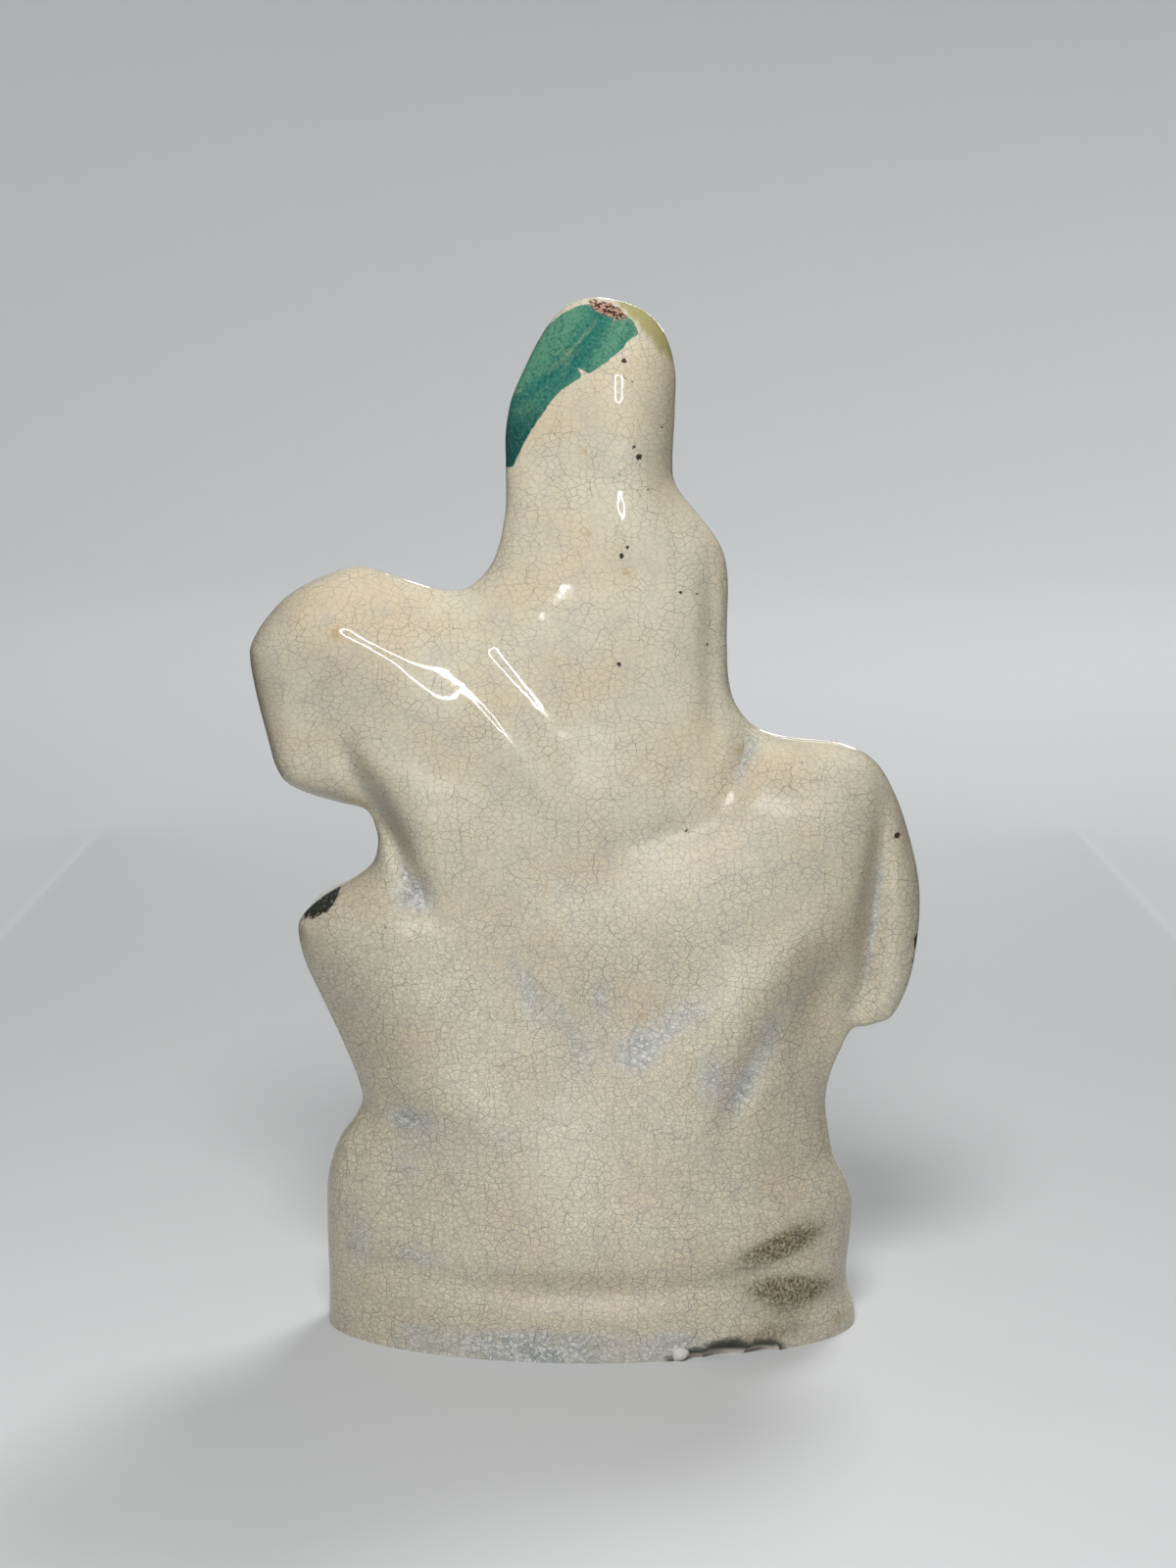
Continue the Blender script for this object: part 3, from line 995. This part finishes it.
    # enamels over the glaze
    granular = addNode(tree, "noise", place, perMm / 0.5, 2.0, 0.65)
    along = addNode(tree, "VectorMath", {0: place, 1: (-0.67, 0.35, 0.74)},
                    operation="DOT_PRODUCT").outputs["Value"]
    across = addNode(tree, "VectorMath", {0: place, 1: (0.74, 0.55, 0.67)},
                     operation="DOT_PRODUCT").outputs["Value"]
    strokes = addNode(tree, "CombineXYZ", {0: addNode(tree, "multiply", along, 0.14), 1: across}).outputs[0]
    brushed = addNode(tree, "noise", strokes, perMm / 1.7, 3.0, 0.6)
    brushedSlow = addNode(tree, "noise", strokes, perMm / 6.0, 2.0, 0.5)
    ragged = addNode(tree, "subtract", addNode(tree, "noise", place, perMm / 1.1, 3.0, 0.6), 0.5)
    painted = 0.0
    for name, (thick, thin, wobble, strength) in enamels.items():
        reach = addNode(tree, "add", addNode(tree, "layer", attribute_name=name),
                        addNode(tree, "multiply", ragged, 2.0 * wobble))
        mask = addNode(tree, "ease", reach, 0.30, 0.12, 0.0, strength)
        tint = addNode(tree, "mix", addNode(tree, "ease", brushed, 0.42, 0.66), srgb(thick), srgb(thin))
        colour = addNode(tree, "mix", mask, colour, tint)
        painted = addNode(tree, "maximum", painted, mask)

    for name, (tint, strength, soft, _) in brushMarks.items():
        mask = addNode(tree, "ease", addNode(tree, "layer", attribute_name=name), soft, -soft, 0.0,
                       strength)
        colour = addNode(tree, "mix", mask, colour, srgb(tint))

    # brushed teal patch, darker and granular low down, with a yellowish streak through the middle
    edgeWobble = addNode(tree, "add", addNode(tree, "layer", attribute_name="hatPatch"),
                         addNode(tree, "multiply", ragged, 0.4))
    mask = addNode(tree, "ease", edgeWobble, 0.10, -0.10)
    teal = addNode(tree, "mix", addNode(tree, "ease", brushedSlow, 0.38, 0.62), srgb("#2f7468"),
                   srgb("#5c9479"))
    teal = addNode(tree, "mix", addNode(tree, "ease", brushed, 0.54, 0.74, 0.0, 0.75), teal,
                   srgb("#97ad84"))
    teal = addNode(tree, "mix", addNode(tree, "ease", height[2], 0.157, 0.148, 0.0, 0.85), teal,
                   srgb("#174d4c"))
    teal = addNode(tree, "mix", addNode(tree, "ease", granular, 0.46, 0.70, 0.0, 0.6), teal,
                   srgb("#17484a"))
    teal = addNode(tree, "mix", addNode(tree, "ease", granular, 0.40, 0.30, 0.0, 0.45), teal,
                   srgb("#7fa294"))
    colour = addNode(tree, "mix", mask, colour, teal)
    painted = addNode(tree, "maximum", painted, mask)

    # where it has flaked by the seam: pinkish bare spots among dark red-brown crumbs
    flakes = addNode(tree, "layer", attribute_name="hatFlakes")
    crumbs = addNode(tree, "add", flakes, addNode(tree, "multiply", ragged, 5.0))
    crumbs = addNode(tree, "ease", crumbs, 0.5, -0.3)
    crumbTint = addNode(tree, "mix", addNode(tree, "ease", granular, 0.42, 0.58), srgb("#3a1f16"),
                        srgb("#c79f8a"))
    colour = addNode(tree, "mix", addNode(tree, "multiply", crumbs, 0.95), colour, crumbTint)

    ochreReach = addNode(tree, "add", addNode(tree, "layer", attribute_name="hatOchre"),
                         addNode(tree, "multiply", addNode(tree, "subtract", brushed, 0.5), 3.0))
    colour = addNode(tree, "mix", addNode(tree, "ease", ochreReach, 0.7, -0.7, 0.0, 0.8), colour,
                     srgb("#a39a5a"))
    for name, wobble in (("kneePatch", 0.8), ("seamSpots", 0.8)):
        reach = addNode(tree, "add", addNode(tree, "layer", attribute_name=name),
                        addNode(tree, "multiply", ragged, 2.0 * wobble))
        chippedOff = addNode(tree, "ease", granular, 0.60, 0.66, 0.96, 0.25)
        mask = addNode(tree, "multiply", addNode(tree, "ease", reach, 0.25, 0.0), chippedOff)
        colour = addNode(tree, "mix", mask, colour, srgb("#1b2522"))

    # iron specks and small rusty stains
    flat = addNode(tree, "VectorMath", {0: place, 1: (perMm, 0.0, perMm)}, operation="MULTIPLY").outputs[0]
    for spots, dark, soft, strength, raggedness in ((stains, "#b28a4a", 0.7, 0.42, 3.0),
                                                    (specks, "#2a241f", 0.12, 0.95, 0.9)):
        nearest = 9.0
        for px, pz, radius in spots.values():
            away = addNode(tree, "VectorMath", {0: flat, 1: (px, 0.0, pz)},
                           operation="DISTANCE").outputs["Value"]
            nearest = addNode(tree, "minimum", nearest, addNode(tree, "subtract", away, radius))
        frayed = addNode(tree, "multiply", addNode(tree, "subtract", fine, 0.4), raggedness)
        nearest = addNode(tree, "add", nearest, frayed)
        spot = addNode(tree, "ease", nearest, soft, -soft, 0.0, strength)
        colour = addNode(tree, "mix", addNode(tree, "multiply", spot, behind), colour, srgb(dark))
    scatter = addNode(tree, "TexVoronoi", {"Vector": place, "Scale": perMm / 4.2, "Randomness": 1.0})
    chance = addNode(tree, "SeparateColor", {0: scatter.outputs["Color"]}).outputs
    dot = addNode(tree, "ease", addNode(tree, "subtract", scatter.outputs["Distance"],
                                        addNode(tree, "multiply", chance[1], 0.045)), 0.02, 0.0)
    dot = addNode(tree, "multiply", dot, addNode(tree, "ease", chance[0], 0.62, 0.66, 0.0, 0.6))
    colour = addNode(tree, "mix", dot, colour, srgb("#4a4036"))

    # dirt that clings in the groove and at the foot
    grit = addNode(tree, "ease", addNode(tree, "noise", place, perMm / 0.45, 3.0, 0.7), 0.38, 0.58, 0.35,
                   1.0)
    dirt = addNode(tree, "multiply", addNode(tree, "ease", addNode(tree, "layer", attribute_name="dirt"),
                                             0.10, 1.15), grit)
    soil = addNode(tree, "mix", addNode(tree, "ease", granular, 0.40, 0.62), srgb("#3a3013"),
                   srgb("#6e5f31"))
    colour = addNode(tree, "mix", addNode(tree, "multiply", dirt, 0.95), colour, soil)

    # bare body in the chips, with a dirty lip
    chipDepth = addNode(tree, "layer", attribute_name="chipped")
    bare = addNode(tree, "add", chipDepth, addNode(tree, "multiply", ragged, 0.5))
    bare = addNode(tree, "ease", bare, 0.30, 0.10)
    lip = addNode(tree, "add", chipDepth, addNode(tree, "multiply", ragged, 1.2))
    lip = addNode(tree, "ease", lip, 1.3, 0.3, 0.0, 0.95)
    colour = addNode(tree, "mix", lip, colour, srgb("#34382c"))
    bareTint = addNode(tree, "mix", addNode(tree, "ease", height[2], 0.0013, 0.0004), srgb("#4a4b41"),
                       srgb("#cfc4ba"))
    colour = addNode(tree, "mix", bare, colour, bareTint)
    blobbed = addNode(tree, "layer", attribute_name="footBlob")
    blobbed = addNode(tree, "add", blobbed, addNode(tree, "multiply", ragged, 0.4))
    blobbed = addNode(tree, "ease", blobbed, 0.35, 0.15)
    colour = addNode(tree, "mix", blobbed, colour, srgb("#d9d4cb"))

    dull = addNode(tree, "maximum", addNode(tree, "multiply", bare, 0.85),
                   addNode(tree, "multiply", dirt, 0.5))
    # the lower back is so finely cracked that it only shimmers
    wandering = addNode(tree, "multiply", addNode(tree, "subtract", slow, 0.5), 0.03)
    wandering = addNode(tree, "add", height[2], wandering)
    shimmer = addNode(tree, "multiply", addNode(tree, "ease", wandering, 0.106, 0.088, 0.0,
                                                glaze["crazedRoughness"]), backShare)
    gloss = addNode(tree, "add", addNode(tree, "multiply", painted, 0.05),
                    addNode(tree, "maximum", shimmer, glaze["roughness"]))
    roughness = addNode(tree, "maximum", dull, gloss)

    # slight waves in the poured glaze, and grain where the body is bare
    waves = addNode(tree, "noise", place, perMm / 5.0, 2.0, 0.4)
    wavy = addNode(tree, "Bump", {"Strength": 1.0, "Distance": 0.05 * mm, "Height": waves})
    pitted = addNode(tree, "Bump", {"Strength": addNode(tree, "multiply", bare, 0.9), "Distance": 0.3 * mm,
                                    "Height": addNode(tree, "noise", place, perMm / 0.8, 4.0, 0.7),
                                    "Normal": wavy.outputs[0]})
    shader = addNode(tree, "BsdfPrincipled", {"Base Color": colour, "Roughness": roughness,
                                              "IOR": glaze["ior"], "Normal": pitted.outputs[0]})
    output = addNode(tree, "OutputMaterial", {"Surface": shader.outputs[0]})
    output.location = (400, 0)
    return material


mesh.materials.append(earthenwareGlaze())
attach(piece, "root")
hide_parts("figure")
print("glaze and enamels mixed")


# A plain pale floor with soft studio light
studio = {
    "cove": "#d3d5d6",
    "coveRadius": 2.6, "coveFlat": 1.3, "coveHeight": 2.4,
    "world": "#e4e8ec", "worldStrength": 0.08,
    "keyPlace": (0.03, 0.33, 0.41), "keySize": 0.16, "keyPower": 1.72,
    "fillPlace": (-0.5, -1.1, 1.5), "fillSize": 0.6, "fillPower": 17.0,
    "ringPlaces": {"back": (0.0, 0.92, 0.36), "front": (-0.15, -0.92, 0.36)},
    "ringRadius": 0.12, "ringTube": 0.010, "ringStrengths": {"back": 42.0, "front": 9.0},
    "washCount": 4, "washReach": 0.9, "washRise": 1.9, "washSize": 0.8,
    "washPower": 3.0, "washPowerInView": 10.0,
    "cardReach": 0.16, "cardWidth": 0.9, "cardHeight": 0.5, "card": "#1c1c1e",
}


def plainMaterial(name, colour, roughness):
    material = bpy.data.materials.new(name)
    material.use_nodes = True
    tree = material.node_tree
    shader = tree.nodes["Principled BSDF"]
    place = addNode(tree, "TexCoord").outputs["Object"]
    grain = addNode(tree, "TexNoise", {"Vector": place, "Scale": 400.0, "Detail": 3.0})
    tree.links.new(addNode(tree, "Bump", {"Strength": 0.15, "Distance": 0.0002,
                                          "Height": grain.outputs["Fac"]}).outputs[0],
                   shader.inputs["Normal"])
    shader.inputs["Base Color"].default_value = srgb(colour)
    shader.inputs["Roughness"].default_value = roughness
    return material


def aim(thing, target):
    direction = np.array(target) - np.array(thing.location)
    tilt = math.atan2(math.hypot(direction[0], direction[1]), -direction[2])
    thing.rotation_euler = (tilt, 0.0, math.atan2(-direction[0], direction[1]))


def softLamp(name, place, size, power):
    lamp = bpy.data.lights.new(name, "AREA")
    lamp.shape = "DISK"
    lamp.size = size
    lamp.energy = power
    thing = bpy.data.objects.new(name, lamp)
    bpy.context.scene.collection.objects.link(thing)
    thing.location = place
    aim(thing, (0.0, 0.0, 0.08))
    return thing


# pale cove: a flat floor that rises in one sweep to a low wall all round
rings, spokes = 28, 96
covePoints, coveFaces = [(0.0, 0.0, 0.0)], []
for n in range(1, rings + 1):
    turn = 0.5 * math.pi * max(0, n - 4) / (rings - 4)
    sweep = studio["coveRadius"] - studio["coveFlat"]
    reach = studio["coveFlat"] * min(n, 4) / 4 + sweep * math.sin(turn)
    rise = studio["coveHeight"] * (1.0 - math.cos(turn))
    for k in range(spokes):
        angle = 2.0 * math.pi * k / spokes
        covePoints.append((reach * math.cos(angle), reach * math.sin(angle), rise))
for k in range(spokes):
    coveFaces.append((0, 1 + k, 1 + (k + 1) % spokes))
    for n in range(rings - 1):
        first, second = 1 + n * spokes, 1 + (n + 1) * spokes
        coveFaces.append((first + k, second + k, second + (k + 1) % spokes, first + (k + 1) % spokes))
coveMesh = bpy.data.meshes.new("floor")
coveMesh.from_pydata(covePoints, [], coveFaces)
coveMesh.shade_smooth()
coveMesh.materials.append(plainMaterial("matt_paper_cove", studio["cove"], 0.8))
floor = bpy.data.objects.new("floor", coveMesh)
bpy.context.scene.collection.objects.link(floor)

for name in ("key", "fill"):
    lamp = softLamp(name + "_light", studio[name + "Place"], studio[name + "Size"], studio[name + "Power"])
    lamp.visible_glossy = False    # the gloss shows the ring lamps alone

# lamps above that face outward and light the cove's wall, more so where the camera sees it
for n in range(studio["washCount"]):
    angle = 2.0 * math.pi * (n + 0.5) / studio["washCount"]
    out = (math.cos(angle), math.sin(angle))
    wash = softLamp(f"wall_light_{n + 1}", (out[0] * studio["washReach"], out[1] * studio["washReach"],
                                            studio["washRise"]),
                    studio["washSize"], studio["washPowerInView"] if out[1] < 0.0 else studio["washPower"])
    aim(wash, (out[0] * 3.0, out[1] * 3.0, 0.6))
    wash.visible_glossy = False

# ring lamps, seen only as the thin looped highlights
for name, ringPlace in studio["ringPlaces"].items():
    bpy.ops.mesh.primitive_torus_add(major_radius=studio["ringRadius"], minor_radius=studio["ringTube"],
                                     major_segments=48, minor_segments=8, location=ringPlace)
    ring = bpy.context.active_object
    ring.name = "ring_lamp_" + name
    aim(ring, (0.0, 0.0, 0.10))
    glow = bpy.data.materials.new("ring_lamp_glow_" + name)
    glow.use_nodes = True
    glow.node_tree.nodes.clear()
    emitted = addNode(glow.node_tree, "Emission", {"Color": (1.0, 1.0, 1.0, 1.0),
                                                   "Strength": studio["ringStrengths"][name]})
    addNode(glow.node_tree, "OutputMaterial", {"Surface": emitted.outputs[0]})
    ring.data.materials.append(glow)
    ring.visible_camera = False
    ring.visible_diffuse = False
    ring.visible_shadow = False

# dark cards at both sides deepen the turned-away edges
for name, side in (("left", -1), ("right", 1)):
    reach, half, high = studio["cardReach"] * side, 0.5 * studio["cardWidth"], studio["cardHeight"]
    cardMesh = bpy.data.meshes.new("side_card")
    cardMesh.from_pydata([(reach, -half, 0.001), (reach, half, 0.001), (reach, half, high),
                          (reach, -half, high)],
                         [], [(0, 1, 2, 3)])
    cardMesh.materials.append(plainMaterial("matt_black_card_" + name, studio["card"], 0.9))
    card = bpy.data.objects.new("side_card_" + name, cardMesh)
    bpy.context.scene.collection.objects.link(card)
    card.visible_camera = False
    card.visible_shadow = False

world = bpy.data.worlds.new("studio")
world.use_nodes = True
world.node_tree.nodes["Background"].inputs["Color"].default_value = srgb(studio["world"])
world.node_tree.nodes["Background"].inputs["Strength"].default_value = studio["worldStrength"]
bpy.context.scene.world = world
bpy.context.scene.view_settings.view_transform = "Standard"
print("studio lit")

# The photograph's viewing angle: 453 mm away, 168 mm up, looking 9.6 degrees down at the back
lens = bpy.data.cameras.new("camera")
lens.sensor_width = 36.0
lens.lens = 64.37
lens.clip_start = 0.01
camera = bpy.data.objects.new("camera", lens)
bpy.context.scene.collection.objects.link(camera)
camera.location = (0.0, 0.453, 0.168)
camera.rotation_euler = (math.radians(90.0 - 9.6), 0.0, math.radians(180.0))
bpy.context.scene.camera = camera
